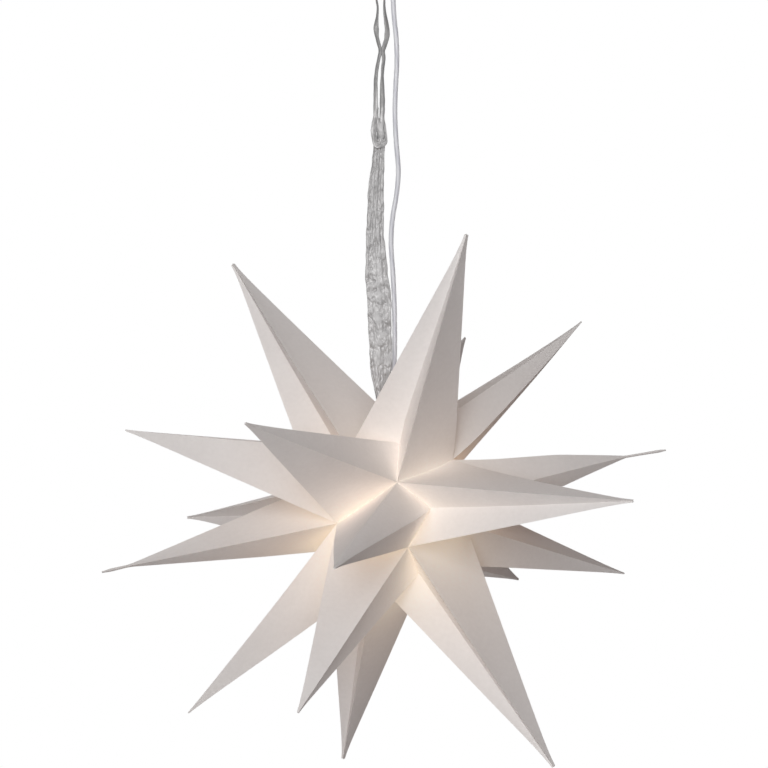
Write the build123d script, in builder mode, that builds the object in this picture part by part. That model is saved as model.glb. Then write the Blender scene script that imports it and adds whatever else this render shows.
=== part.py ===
from build123d import *
import math
import os

import numpy as np

os.makedirs("parts", exist_ok=True)

# A folded paper star pendant with eighteen points, hung from a ceiling rose by a crushed
# ribbon, with a small screw lamp inside. Millimetres. +Z is up, the origin is on the
# ceiling at the middle of the rose, +X is to the right and +Y away from the viewer.

# ---------------------------------------------------------------- driving dimensions
# Star: every corner lies on one of six centre planes or six valley planes.
PAPER = 0.5                       # thickness of the folded card
BELT_REACH = 300.0                # polar axis to the six tips around the belt
CAP_TIP_RADIUS = 155.0            # polar axis to the twelve tips nearer the poles
CAP_TIP_HEIGHT = 245.0            # those tips above or below the belt
POLE_HEIGHT = 76.0                # where the pole creases meet, on the axis
DIP_RADIUS = 75.5                 # inner corner between two points of one gore
DIP_HEIGHT = 16.5
VALLEY_RADIUS = 64.5              # inner corner between two neighbouring gores
VALLEY_HEIGHT = 42.5
GORE_TURNS = (32.0, 90.5, 149.5, 206.0, 268.5, 328.0)   # centre planes, from the seam
STAR_HEADING = 47.0               # polar axis, turned from +X towards +Y
STAR_RISE = 11.4                  # polar axis above the horizontal
STAR_ROLL = -3.2                  # closing seam beside the highest line of the star
STAR_SIDE = 9.5                   # star's centre to the right of the hook
FLAP_INSET = 3.0                  # glue flaps inside the point edges, off the facets
FLAP_DEPTH = 5.0                  # glue flaps inside the valleys, towards the centre
FLAP_START = 0.16                 # share of an edge left bare beside a pole
FLAP_ROOT = 0.1                   # share of a hollow crease over which a flap sinks in

# Way in for the ribbon and the cable, on the closing seam.
SLOT_LENGTH = 30.0
SLOT_WIDTH = 6.6
CABLE_HOLE_RADIUS = 7.0
CABLE_BEHIND = 2.6                # cable's axis behind the seam line
RIBBON_BEFORE = 1.6               # middle of the ribbon before the seam line

# Ceiling rose.
CUP_RADIUS = 48.0
CUP_DEPTH = 28.0
CUP_WALL = 1.2
CUP_CORNER = 9.0
RIM_ROLL = 1.6
BAR_LENGTH = 76.0
BAR_WIDTH = 16.0
BAR_THICK = 2.0
BAR_DROP = 10.0                   # middle of the bar below the ceiling
BAR_END = 15.0                    # flat length of each end, against the ceiling
SCREW_SPACING = 62.0
SCREW_HOLE_RADIUS = 2.25

# Hook, a bent round wire with a threaded stem.
WIRE_RADIUS = 2.0
HOOK_RADIUS = 9.0                 # to the middle of the wire
HOOK_BEND = 3.5
HOOK_SWEEP = 262.0
STEM_RADIUS = 2.5
COLLAR_RADIUS = 6.0
COLLAR_THICK = 2.0
NUT_ACROSS = 8.0
NUT_THICK = 4.0

# Ribbon and cable.
RIBBON_DROP = 508.0               # hook wire to the star's centre
RIBBON_THICK = 1.0                # one crushed layer
STRAND_RADIUS = 1.9               # the ribbon gathered to a string
KNOT_HEIGHT = 24.0
KNOT_TOP = -186.0
KNOT_SIDE = -1.5                  # middle of the knot beside the hook
CABLE_RADIUS = 2.4
CABLE_SIDE = 12.0                 # cable's outlet beside the hook
FIT = 0.1                         # cable in its grips
GAP = 0.3                         # soft or loose pieces beside what they lie on

# Terminal block on the floor of the rose: two posts on one base, a screw in each post.
BLOCK_LENGTH = 20.0
BLOCK_WIDTH = 16.0
BLOCK_HEIGHT = 12.0
BLOCK_CLEAR = 12.8                # between the block and the wall of the cup
BLOCK_CLEFT = 1.5                 # between the two posts, half on each side
SCREW_WELL_DEPTH = 3.0
SCREW_HEAD_RADIUS = 2.4
SCREW_HEAD_HEIGHT = 2.4
SCREW_SLOT_WIDTH = 0.8
SCREW_SLOT_DEPTH = 0.6
WIRE_HOLE_RADIUS = 1.6
WIRE_HOLE_HEIGHT = 4.0

# Lampholder and lamp, on one upright axis below the seam. Heights from the star's centre.
GRIP_TOP = 62.0
CAP_TOP = 55.0
CAP_BOTTOM = 38.0
CAP_RIBS = 18
CAP_RIB_RADIUS = 0.5
HOLDER_BOTTOM = 6.0
HOLDER_RADIUS = 13.5
HOLDER_WALL = 1.6
GRIP_RADIUS = 5.0
SPIGOT = 4.0                      # upper edge of the holder, screwed up inside its cap
INSERT_THICK = 7.0
INSERT_SCREW_RADIUS = 1.5
INSERT_SCREW_INSET = 3.0          # terminals inside the edge of the insert
SHELL_RADIUS = 7.2                # inside the metal screw shell
SHELL_WALL = 0.4
LAMP_CAP_RADIUS = 6.9
LAMP_CAP_TOP = 27.0
THREAD_PITCH = 2.8
THREAD_DEPTH = 0.5
THREAD_RINGS = 5
GLOBE_RADIUS = 22.5
GLOBE_WALL = 1.0
GLOBE_CENTRE = -24.0
NECK_RADIUS = 16.5

# ---------------------------------------------------------------- places
stem_end = -CUP_DEPTH - COLLAR_THICK
hook_centre_z = stem_end - math.sqrt((HOOK_RADIUS + HOOK_BEND) ** 2 - HOOK_BEND ** 2)
hook_wire_z = hook_centre_z - HOOK_RADIUS
star_z = hook_wire_z - RIBBON_DROP

heading = math.radians(STAR_HEADING)
rise = math.radians(STAR_RISE)
polar_axis = Vector(
    math.cos(rise) * math.cos(heading), math.cos(rise) * math.sin(heading), math.sin(rise)
)
highest_line = Vector(0, 0, 1) - polar_axis * polar_axis.Z
seam_way = highest_line.rotate(Axis((0, 0, 0), polar_axis), STAR_ROLL)
star_plane = Plane(origin=(STAR_SIDE, 0, star_z), x_dir=seam_way, z_dir=polar_axis)

# The point of the closing seam that lies straight above the star's centre.
seam_foot = star_plane.from_local_coords(Vector(VALLEY_RADIUS, 0, 0))
along_seam = -(
    (seam_foot.X - STAR_SIDE) * polar_axis.X + seam_foot.Y * polar_axis.Y
) / math.cos(rise) ** 2
seam_entry = seam_foot + polar_axis * along_seam
back_way = Vector(-math.sin(heading), math.cos(heading), 0)
cable_entry = seam_entry + back_way * CABLE_BEHIND
ribbon_entry = seam_entry - back_way * RIBBON_BEFORE
lamp_x, lamp_y = cable_entry.X, cable_entry.Y
lamp_axis = Axis((lamp_x, lamp_y, 0), (0, 0, 1))
cable_axis = Axis((CABLE_SIDE, 0, 0), (0, 0, 1))
hook_axis = Axis((0, 0, 0), (0, 0, 1))


def upright(x, y, z=0.0):
    """Sketch plane whose own x is the distance from a vertical line and own y is height."""
    return Plane(origin=(x, y, z), x_dir=(1, 0, 0), z_dir=(0, -1, 0))


lamp_side = upright(lamp_x, lamp_y, star_z)
cable_side = upright(CABLE_SIDE, 0)
rose_side = upright(0, 0)


def save(piece, name):
    piece.label = name
    export_step(piece, f"parts/{name}.step")


# ---------------------------------------------------------------- paper leaves
# A leaf is half a gore: one flat sheet with six creases, from a centre plane to a valley
# plane. Its seven facets run down the belt like a strip, so it unfolds flat. The tips,
# dips and poles lie on its centre plane, the valley corners on its valley plane.
RIDGE = ("pole_a", "tip_a", "dip_a", "tip_belt", "dip_b", "tip_b", "pole_b")
VALLEY = ("pole_a", "valley_a", "valley_b", "pole_b")
FACETS = (
    ("tip_a", "pole_a", "valley_a"),
    ("tip_a", "valley_a", "dip_a"),
    ("tip_belt", "dip_a", "valley_a"),
    ("tip_belt", "valley_a", "valley_b"),
    ("tip_belt", "valley_b", "dip_b"),
    ("tip_b", "dip_b", "valley_b"),
    ("tip_b", "valley_b", "pole_b"),
)


def on_star(place, turn):
    """Point in the star's own frame, from its (radius, height) in an upright plane."""
    angle = math.radians(turn)
    return np.array([place[0] * math.cos(angle), place[0] * math.sin(angle), place[1]])


CORNERS = {
    "pole_a": (0, POLE_HEIGHT),
    "pole_b": (0, -POLE_HEIGHT),
    "tip_a": (CAP_TIP_RADIUS, CAP_TIP_HEIGHT),
    "tip_b": (CAP_TIP_RADIUS, -CAP_TIP_HEIGHT),
    "tip_belt": (BELT_REACH, 0),
    "dip_a": (DIP_RADIUS, DIP_HEIGHT),
    "dip_b": (DIP_RADIUS, -DIP_HEIGHT),
    "valley_a": (VALLEY_RADIUS, VALLEY_HEIGHT),
    "valley_b": (VALLEY_RADIUS, -VALLEY_HEIGHT),
}


def inset_corners(ridge_turn, valley_turn, depth):
    """Each corner moved inwards, within its own upright plane, until it lies as near as it
    can to this depth below every facet that meets it."""
    turns = {name: valley_turn if name in VALLEY else ridge_turn for name in CORNERS}
    outer = {name: on_star(CORNERS[name], turns[name]) for name in CORNERS}
    moved = {}
    for name, place in CORNERS.items():
        ways = []
        if name not in ("pole_a", "pole_b"):
            ways.append(on_star((1, 0), turns[name]))
        if name != "tip_belt":
            ways.append(on_star((0, 1), turns[name]))
        normals = []
        for facet in FACETS:
            if name in facet:
                first, second, third = (outer[corner] for corner in facet)
                normal = np.cross(second - first, third - first)
                normals.append(normal / np.linalg.norm(normal) * np.sign(normal @ first))
        slopes = np.array(normals) @ np.array(ways).T
        moves = np.linalg.lstsq(slopes, -depth * np.ones(len(normals)), rcond=None)[0]
        shift = sum(move * way for move, way in zip(moves, ways))
        outward = shift @ on_star((1, 0), turns[name])
        moved[name] = (place[0] + outward, place[1] + shift[2])
    return moved


def flat_face(points):
    """One flat panel from its corners, given in the star's frame."""
    corners = [star_plane.from_local_coords(Vector(*point)) for point in points]
    return Face(Wire.make_polygon(corners, close=True))


def folded_sheet(ridge_turn, valley_turn):
    """Closed skin of a folded sheet: facets outside and inside, and a flat rim along the
    centre plane and along the valley plane, where the next leaf meets it face to face."""
    skin = []
    layers = []
    for flat in (CORNERS, inset_corners(ridge_turn, valley_turn, PAPER)):
        turns = {name: valley_turn if name in VALLEY else ridge_turn for name in flat}
        layer = {name: on_star(flat[name], turns[name]) for name in flat}
        skin += [flat_face([layer[name] for name in facet]) for facet in FACETS]
        layers.append(layer)
    outer, inner = layers
    for line in (RIDGE, VALLEY):
        for start, end in zip(line, line[1:]):
            skin.append(flat_face([outer[start], outer[end], inner[end], inner[start]]))
    return Solid(Shell(skin))


def joint_plane(turn):
    """Upright plane through the polar axis: own x is the radius, own y the height."""
    spoke = star_plane.x_dir.rotate(Axis(star_plane.origin, star_plane.z_dir), turn)
    return Plane(origin=star_plane.origin, x_dir=spoke, z_dir=spoke.cross(star_plane.z_dir))


def ridge_flap_top(inner):
    """Upper edge of a ridge flap, in its joint plane. It follows the paper's inner face, but
    along the two hollow creases of the belt point it runs halfway through the paper."""
    halfway = {name: (Vector(*inner[name]) + Vector(*CORNERS[name])) / 2 for name in RIDGE}
    top = []
    for start, end in zip(RIDGE, RIDGE[1:]):
        top.append(Vector(*inner[start]))
        if "tip_belt" in (start, end):
            crease = halfway[end] - halfway[start]
            for share in (FLAP_ROOT, 1 - FLAP_ROOT):
                top.append(halfway[start] + crease * share)
    return [*top, Vector(*inner[RIDGE[-1]])]


def past_poles(line):
    """A line of corners whose two ends are drawn back from the poles along their edges."""
    first = Vector(*line[0]) + (Vector(*line[1]) - Vector(*line[0])) * FLAP_START
    last = Vector(*line[-1]) + (Vector(*line[-2]) - Vector(*line[-1])) * FLAP_START
    return [(point.X, point.Y) for point in (first, *(Vector(*p) for p in line[1:-1]), last)]


seam_plane = Plane(origin=seam_entry, x_dir=polar_axis, z_dir=star_plane.x_dir)


def make_leaf(name, ridge_turn, valley_turn, at_seam):
    side = 1 if valley_turn > ridge_turn else -1
    inner = inset_corners(ridge_turn, valley_turn, PAPER)
    deep = inset_corners(ridge_turn, valley_turn, FLAP_INSET)
    shrink = 1 - FLAP_DEPTH / VALLEY_RADIUS
    ridge_edge = past_poles(ridge_flap_top(inner))
    ridge_flap = past_poles([deep[corner] for corner in RIDGE])
    valley_edge = past_poles([CORNERS[corner] for corner in VALLEY])
    valley_flap = past_poles([Vector(*CORNERS[corner]) * shrink for corner in VALLEY])
    with BuildPart() as leaf:
        add(folded_sheet(ridge_turn, valley_turn))
        # Glue flaps stand inwards from both glued edges, on the leaf's own side of them.
        with BuildSketch(joint_plane(ridge_turn)):
            Polygon(*ridge_edge, *ridge_flap[::-1], align=None)
        extrude(amount=-side * PAPER)
        with BuildSketch(joint_plane(valley_turn)):
            Polygon(*valley_edge, *valley_flap[::-1], align=None)
        extrude(amount=side * PAPER)
        if at_seam:
            with BuildSketch(seam_plane):
                SlotOverall(SLOT_LENGTH, SLOT_WIDTH)
            extrude(amount=FLAP_DEPTH * 3, both=True, mode=Mode.SUBTRACT)
            with BuildSketch(Plane(origin=cable_entry)):
                Circle(CABLE_HOLE_RADIUS)
            extrude(amount=FLAP_DEPTH * 3, both=True, mode=Mode.SUBTRACT)
    save(leaf.part, name)


gore_count = len(GORE_TURNS)
for gore, turn in enumerate(GORE_TURNS):
    before = GORE_TURNS[gore - 1] - (360 if gore == 0 else 0)
    after = GORE_TURNS[(gore + 1) % gore_count] + (360 if gore == gore_count - 1 else 0)
    low_valley = (before + turn) / 2
    high_valley = (turn + after) / 2
    if gore == 0:
        low_valley = 0.0
    if gore == gore_count - 1:
        high_valley = 360.0
    make_leaf(f"leaf_{gore + 1}_left", turn, low_valley, gore == 0)
    make_leaf(f"leaf_{gore + 1}_right", turn, high_valley, gore == gore_count - 1)

# ---------------------------------------------------------------- ceiling rose
with BuildPart() as ceiling_bar:
    # A strap whose two ends lie on the ceiling and whose middle hangs below it.
    foot = BAR_LENGTH / 2 - BAR_END
    middle = foot - BAR_DROP
    with BuildSketch(Plane.YZ.offset(-BAR_WIDTH / 2)):
        with BuildLine():
            Polyline(
                (-BAR_LENGTH / 2, 0), (-foot, 0), (-middle, -BAR_DROP),
                (middle, -BAR_DROP), (foot, 0), (BAR_LENGTH / 2, 0),
                (BAR_LENGTH / 2, -BAR_THICK), (foot + BAR_THICK / 2, -BAR_THICK),
                (middle + BAR_THICK / 2, -BAR_DROP - BAR_THICK),
                (-middle - BAR_THICK / 2, -BAR_DROP - BAR_THICK),
                (-foot - BAR_THICK / 2, -BAR_THICK), (-BAR_LENGTH / 2, -BAR_THICK),
                close=True,
            )
        make_face()
    extrude(amount=BAR_WIDTH)
    ends = ceiling_bar.edges().filter_by(Axis.Z).group_by(Axis.Y)
    fillet(ends[0] + ends[-1], BAR_WIDTH / 4)
    with Locations((0, SCREW_SPACING / 2, 0), (0, -SCREW_SPACING / 2, 0)):
        Hole(SCREW_HOLE_RADIUS, depth=BAR_THICK)
    with Locations((0, 0, -BAR_DROP)):
        Hole(STEM_RADIUS + FIT, depth=BAR_THICK)
save(ceiling_bar.part, "ceiling_bar")

with BuildPart() as ceiling_cup:
    # Spun cup with a rounded bottom edge and a rim rolled inwards at the ceiling.
    with BuildSketch(rose_side):
        with BuildLine():
            rim_in = Line((CUP_RADIUS - CUP_WALL - RIM_ROLL, 0), (CUP_RADIUS, 0))
            wall = Line(rim_in @ 1, (CUP_RADIUS, -CUP_DEPTH + CUP_CORNER))
            bend = RadiusArc(
                wall @ 1, (CUP_RADIUS - CUP_CORNER, -CUP_DEPTH), CUP_CORNER
            )
            floor = Line(bend @ 1, (0, -CUP_DEPTH))
            middle_line = Line(floor @ 1, (0, -CUP_DEPTH + CUP_WALL))
            floor_in = Line(
                middle_line @ 1, (CUP_RADIUS - CUP_CORNER, -CUP_DEPTH + CUP_WALL)
            )
            bend_in = RadiusArc(
                floor_in @ 1, (CUP_RADIUS - CUP_WALL, -CUP_DEPTH + CUP_CORNER),
                -(CUP_CORNER - CUP_WALL),
            )
            wall_in = Line(bend_in @ 1, (CUP_RADIUS - CUP_WALL, -CUP_WALL))
            roll = Line(wall_in @ 1, (CUP_RADIUS - CUP_WALL - RIM_ROLL, -CUP_WALL))
            Line(roll @ 1, rim_in @ 0)
        make_face()
    revolve(axis=hook_axis)
    with BuildSketch(Plane.XY.offset(-CUP_DEPTH)):
        Circle(STEM_RADIUS + FIT)
        with Locations((CABLE_SIDE, 0)):
            Circle(CABLE_RADIUS + 2 * CUP_WALL)
    extrude(amount=CUP_WALL, mode=Mode.SUBTRACT)
save(ceiling_cup.part, "ceiling_cup")

with BuildPart() as ceiling_hook:
    # Threaded stem, clamping collar, and a wire bent back under the stem's own axis.
    bend_turn = math.degrees(math.acos(HOOK_BEND / (HOOK_BEND + HOOK_RADIUS)))
    with BuildLine(Plane.YZ) as hook_line:
        drop = Line((0, -CUP_DEPTH), (0, stem_end))
        back = JernArc(drop @ 1, (0, -1), HOOK_BEND, bend_turn)
        JernArc(back @ 1, back % 1, HOOK_RADIUS, -HOOK_SWEEP)
    with BuildSketch(Plane(origin=drop @ 0, z_dir=(0, 0, -1))):
        Circle(WIRE_RADIUS)
    sweep(path=hook_line.line)
    tip_edges = ceiling_hook.edges().filter_by(GeomType.CIRCLE).sort_by(Axis.Y)
    fillet(tip_edges[0], WIRE_RADIUS * 0.6)
    with BuildSketch(Plane.XY.offset(-CUP_DEPTH)):
        Circle(COLLAR_RADIUS)
    extrude(amount=-COLLAR_THICK)
    with BuildSketch(Plane.XY.offset(-CUP_DEPTH)):
        Circle(STEM_RADIUS)
    extrude(amount=CUP_DEPTH - BAR_DROP + BAR_THICK + NUT_THICK)
    chamfer(ceiling_hook.edges().sort_by(Axis.Z)[-1], STEM_RADIUS / 5)
save(ceiling_hook.part, "ceiling_hook")

with BuildPart() as hook_nut:
    with BuildSketch(Plane.XY.offset(-BAR_DROP)):
        RegularPolygon(NUT_ACROSS / 2, 6, major_radius=False)
        Circle(STEM_RADIUS + FIT, mode=Mode.SUBTRACT)
    extrude(amount=NUT_THICK)
save(hook_nut.part, "hook_nut")

with BuildPart() as clamp_nut:
    # Draws the cup up against the collar from inside.
    with BuildSketch(Plane.XY.offset(-CUP_DEPTH + CUP_WALL)):
        RegularPolygon(NUT_ACROSS / 2, 6, major_radius=False)
        Circle(STEM_RADIUS + FIT, mode=Mode.SUBTRACT)
    extrude(amount=NUT_THICK)
save(clamp_nut.part, "clamp_nut")

with BuildPart() as cable_bush:
    # Soft bush snapped into the cup's floor, with a short tapered sleeve below it.
    bore = CABLE_RADIUS + FIT
    neck = CABLE_RADIUS + 2 * CUP_WALL - FIT
    lip = neck + CUP_WALL
    with BuildSketch(cable_side):
        with BuildLine():
            Polyline(
                (bore, -CUP_DEPTH + 2 * CUP_WALL), (lip, -CUP_DEPTH + 2 * CUP_WALL),
                (lip, -CUP_DEPTH + CUP_WALL), (neck, -CUP_DEPTH + CUP_WALL),
                (neck, -CUP_DEPTH), (lip, -CUP_DEPTH),
                (lip, -CUP_DEPTH - CUP_WALL), (neck, -CUP_DEPTH - 2 * CUP_WALL),
                (bore + CUP_WALL / 2, -CUP_DEPTH - 8 * CUP_WALL),
                (bore, -CUP_DEPTH - 8 * CUP_WALL),
                close=True,
            )
        make_face()
    revolve(axis=cable_axis)
save(cable_bush.part, "cable_bush")

block_floor = -CUP_DEPTH + CUP_WALL
block_side = BLOCK_CLEAR + BLOCK_WIDTH / 2 - (CUP_RADIUS - CUP_WALL)
block_top = block_floor + BLOCK_HEIGHT
well_floor = block_top - SCREW_WELL_DEPTH
posts = GridLocations(0, BLOCK_LENGTH / 2, 1, 2)
with BuildPart() as terminal_block:
    with BuildSketch(Plane((block_side, 0, block_floor))):
        Rectangle(BLOCK_WIDTH, BLOCK_LENGTH)
    extrude(amount=BLOCK_HEIGHT / 2)
    with BuildSketch(Plane((block_side, 0, block_floor + BLOCK_HEIGHT / 2))):
        with posts:
            RectangleRounded(BLOCK_WIDTH, BLOCK_LENGTH / 2 - BLOCK_CLEFT, BLOCK_WIDTH / 8)
    extrude(amount=BLOCK_HEIGHT / 2)
    with BuildSketch(Plane((block_side, 0, block_top))):
        with posts:
            Circle(SCREW_HEAD_RADIUS + 2 * FIT)
    extrude(amount=-SCREW_WELL_DEPTH, mode=Mode.SUBTRACT)
    block_end = block_side + BLOCK_WIDTH / 2
    with BuildSketch(Plane((block_end, 0, block_floor + WIRE_HOLE_HEIGHT), z_dir=(1, 0, 0))):
        with GridLocations(BLOCK_LENGTH / 2, 0, 2, 1):
            Circle(WIRE_HOLE_RADIUS)
    extrude(amount=-BLOCK_WIDTH, mode=Mode.SUBTRACT)
save(terminal_block.part, "terminal_block")

with BuildPart() as terminal_screws:
    with BuildSketch(Plane((block_side, 0, well_floor))):
        with posts:
            Circle(SCREW_HEAD_RADIUS)
    extrude(amount=SCREW_HEAD_HEIGHT)
    with BuildSketch(Plane((block_side, 0, well_floor + SCREW_HEAD_HEIGHT))):
        with posts:
            Rectangle(2 * SCREW_HEAD_RADIUS + FIT, SCREW_SLOT_WIDTH)
    extrude(amount=-SCREW_SLOT_DEPTH, mode=Mode.SUBTRACT)
save(terminal_screws.part, "terminal_screws")

# ---------------------------------------------------------------- cable
# Leaves the bush beside the ribbon, hangs a little slack, and goes through the seam.
CABLE_START = -20.0               # end of the sheath, inside the rose
SHEATH_END = 51.0                 # other end of the sheath, above the star's centre
cable_route = [
    (CABLE_SIDE, 0.0, CABLE_START),
    (11.9, 0.0, -66.0),
    (17.5, 0.6, -112.0),
    (14.0, 1.6, -164.0),
    (15.4, 2.2, -200.0),
    (19.2, 2.8, -238.0),
    (9.2, 3.4, -290.0),
    (13.4, 4.4, -340.0),
    (14.5, 5.8, -388.0),
    (13.8, 8.4, -430.0),
    (lamp_x, lamp_y, star_z + 86.0),
    (lamp_x, lamp_y, star_z + SHEATH_END),
]


def route_radii(points, straight=0.45):
    """The largest arc that each corner's two runs allow, one for each inner point."""
    radii = []
    for before, corner, after in zip(points, points[1:], points[2:]):
        run_in = Vector(*corner) - Vector(*before)
        run_out = Vector(*after) - Vector(*corner)
        half_turn = math.radians(run_in.get_angle(run_out)) / 2
        shorter = min(run_in.length, run_out.length)
        radii.append(straight * shorter / math.tan(half_turn))
    return radii


cable_radii = route_radii(cable_route)
with BuildPart() as cable:
    with BuildLine():
        cable_path = FilletPolyline(*cable_route, radius=cable_radii)
    with BuildSketch(Plane(origin=cable_path @ 0, z_dir=cable_path % 0)):
        Circle(CABLE_RADIUS)
    sweep()
save(cable.part, "cable")
cable_length = cable_path.length
print("cable length", round(cable_length, 1), "radii", [round(r) for r in cable_radii])
print(
    "cable volume", round(cable.part.volume, 1),
    "section x length", round(math.pi * CABLE_RADIUS ** 2 * cable_length, 1),
)

# ---------------------------------------------------------------- ribbon
# One ribbon, doubled over the hook, knotted, with both ends held in the closing seam.
# The knot's outline, from its top: how far down, and how far out, in shares of its height.
KNOT_OUTLINE = ((0.0, 0.13), (0.29, 0.275), (0.58, 0.21), (0.77, 0.25), (1.0, 0.17))
knot_bottom = KNOT_TOP - KNOT_HEIGHT
with BuildPart() as ribbon_knot:
    with BuildSketch(upright(KNOT_SIDE, 0)):
        with BuildLine():
            waist = Spline(
                *((out * KNOT_HEIGHT, KNOT_TOP - down * KNOT_HEIGHT) for down, out in KNOT_OUTLINE)
            )
            Polyline(waist @ 1, (0, knot_bottom), (0, KNOT_TOP), waist @ 0)
        make_face()
    revolve(axis=Axis((KNOT_SIDE, 0, 0), (0, 0, 1)))
save(ribbon_knot.part, "ribbon_knot")

loop_half = WIRE_RADIUS + GAP + STRAND_RADIUS
loop_top = hook_wire_z + loop_half
loop_route = [
    (-4.0, 0, KNOT_TOP),
    (-5.2, 0, -146.0),
    (0.4, 0, -115.0),
    (-4.8, 0, -91.0),
    (-1.8, 0, -71.0),
    (-loop_half, 0, -60.0),
    (-loop_half, 0, loop_top),
    (loop_half, 0, loop_top),
    (loop_half, 0, -60.0),
    (4.0, 0, -74.0),
    (7.9, 0, -95.0),
    (3.9, 0, -117.0),
    (1.5, 0, -140.0),
    (2.8, 0, -162.0),
    (1.8, 0, KNOT_TOP),
]
loop_radii = route_radii(loop_route)
over_wire = loop_half - FIT / 2
for corner in (5, 6):
    loop_radii[corner] = over_wire
with BuildPart() as ribbon_loop:
    with BuildLine():
        loop_path = FilletPolyline(*loop_route, radius=loop_radii)
    with BuildSketch(Plane(origin=loop_path @ 0, z_dir=loop_path % 0)):
        Circle(STRAND_RADIUS)
    sweep()
    split(bisect_by=Plane.XY.offset(KNOT_TOP + GAP), keep=Keep.TOP)
save(ribbon_loop.part, "ribbon_loop")
print("loop radii", [round(r, 1) for r in loop_radii])

# Height, middle across and in depth, width and turn, from the knot down to the seam.
RIBBON_SECTIONS = (
    (knot_bottom - GAP, -1.9, 0.0, 10.0, 0.0),
    (-246.0, -4.1, 0.0, 15.7, 0.0),
    (-291.0, -5.1, 0.0, 17.7, 0.0),
    (-336.0, -3.3, 0.0, 23.6, 0.0),
    (-350.0, -1.3, 0.0, 24.6, 0.0),
    (-393.0, 0.0, 0.0, 23.3, 0.0),
    (-423.0, 0.7, 0.0, 21.8, 0.0),
    (-441.0, 1.5, -0.2, 17.0, 8.0),
    (-461.0, 3.8, -0.7, 13.0, 25.0),
    (star_z + GRIP_TOP + GAP, ribbon_entry.X, ribbon_entry.Y, 12.0, STAR_HEADING),
)


def ribbon_layer(name, side):
    """One layer of the ribbon, beside the middle plane that the two layers share."""
    with BuildPart() as layer:
        for height, middle_x, middle_y, width, turn in RIBBON_SECTIONS:
            frame = Plane(origin=(middle_x, middle_y, height)).rotated((0, 0, turn))
            with BuildSketch(frame):
                with Locations((0, side * (RIBBON_THICK + GAP) / 2)):
                    Rectangle(width, RIBBON_THICK)
        loft(ruled=True)
    save(layer.part, name)


ribbon_layer("ribbon_front", -1)
ribbon_layer("ribbon_rear", 1)

# ---------------------------------------------------------------- lampholder
with BuildPart() as cord_grip:
    grip_foot = CAP_TOP - HOLDER_WALL - 2.0
    with BuildSketch(lamp_side):
        with BuildLine():
            Polyline(
                (CABLE_RADIUS + FIT, GRIP_TOP), (CABLE_RADIUS + 1.0, GRIP_TOP),
                (GRIP_RADIUS, CAP_TOP + 3.5), (GRIP_RADIUS, CAP_TOP),
                (GRIP_RADIUS - 1.0, CAP_TOP), (GRIP_RADIUS - 1.0, grip_foot),
                (CABLE_RADIUS + FIT, grip_foot), close=True,
            )
        make_face()
    revolve(axis=lamp_axis)
save(cord_grip.part, "cord_grip")

with BuildPart() as holder_cap:
    inner = HOLDER_RADIUS - HOLDER_WALL
    shoulder = CAP_TOP - 6.0
    with BuildSketch(lamp_side):
        with BuildLine():
            Polyline(
                (GRIP_RADIUS - 1.0 + FIT, CAP_TOP - HOLDER_WALL),
                (GRIP_RADIUS - 1.0 + FIT, CAP_TOP), (GRIP_RADIUS + 2.0, CAP_TOP),
                (HOLDER_RADIUS, shoulder), (HOLDER_RADIUS, CAP_BOTTOM),
                (inner, CAP_BOTTOM), (inner, shoulder - 1.0),
                (GRIP_RADIUS + 1.0, CAP_TOP - HOLDER_WALL), close=True,
            )
        make_face()
    revolve(axis=lamp_axis)
    with BuildSketch(Plane((lamp_x, lamp_y, star_z + CAP_BOTTOM))):
        with PolarLocations(HOLDER_RADIUS, CAP_RIBS):
            Circle(CAP_RIB_RADIUS)
    extrude(amount=shoulder - CAP_BOTTOM - 1.0)
save(holder_cap.part, "holder_cap")

with BuildPart() as holder_body:
    inner = HOLDER_RADIUS - HOLDER_WALL
    with BuildSketch(lamp_side):
        with BuildLine():
            Polyline(
                (inner - HOLDER_WALL, CAP_BOTTOM + SPIGOT), (inner - FIT, CAP_BOTTOM + SPIGOT),
                (inner - FIT, CAP_BOTTOM), (HOLDER_RADIUS, CAP_BOTTOM),
                (HOLDER_RADIUS, CAP_BOTTOM - 5.0), (HOLDER_RADIUS - 1.0, CAP_BOTTOM - 6.0),
                (HOLDER_RADIUS - 1.0, HOLDER_BOTTOM + 3.0), (HOLDER_RADIUS, HOLDER_BOTTOM + 2.0),
                (HOLDER_RADIUS, HOLDER_BOTTOM), (inner - HOLDER_WALL, HOLDER_BOTTOM),
                close=True,
            )
        make_face()
    revolve(axis=lamp_axis)
save(holder_body.part, "holder_body")

insert_top = CAP_BOTTOM + SPIGOT - 1.0
insert_radius = HOLDER_RADIUS - 2 * HOLDER_WALL - FIT
terminals = PolarLocations(insert_radius - INSERT_SCREW_INSET, 2)
shell_top = insert_top - INSERT_THICK
with BuildPart() as contact_insert:
    # Round plate that carries the screw shell and the two terminals.
    with BuildSketch(Plane((lamp_x, lamp_y, star_z + shell_top))):
        Circle(insert_radius)
        with terminals:
            Circle(INSERT_SCREW_RADIUS + FIT, mode=Mode.SUBTRACT)
    extrude(amount=INSERT_THICK)
save(contact_insert.part, "contact_insert")

with BuildPart() as insert_screws:
    with BuildSketch(Plane((lamp_x, lamp_y, star_z + shell_top + 1.0))):
        with terminals:
            Circle(INSERT_SCREW_RADIUS)
    extrude(amount=INSERT_THICK)
    with BuildSketch(Plane((lamp_x, lamp_y, star_z + insert_top + 1.0))):
        with terminals:
            Rectangle(2 * INSERT_SCREW_RADIUS + FIT, SCREW_SLOT_WIDTH)
    extrude(amount=-SCREW_SLOT_DEPTH, mode=Mode.SUBTRACT)
save(insert_screws.part, "insert_screws")

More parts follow.
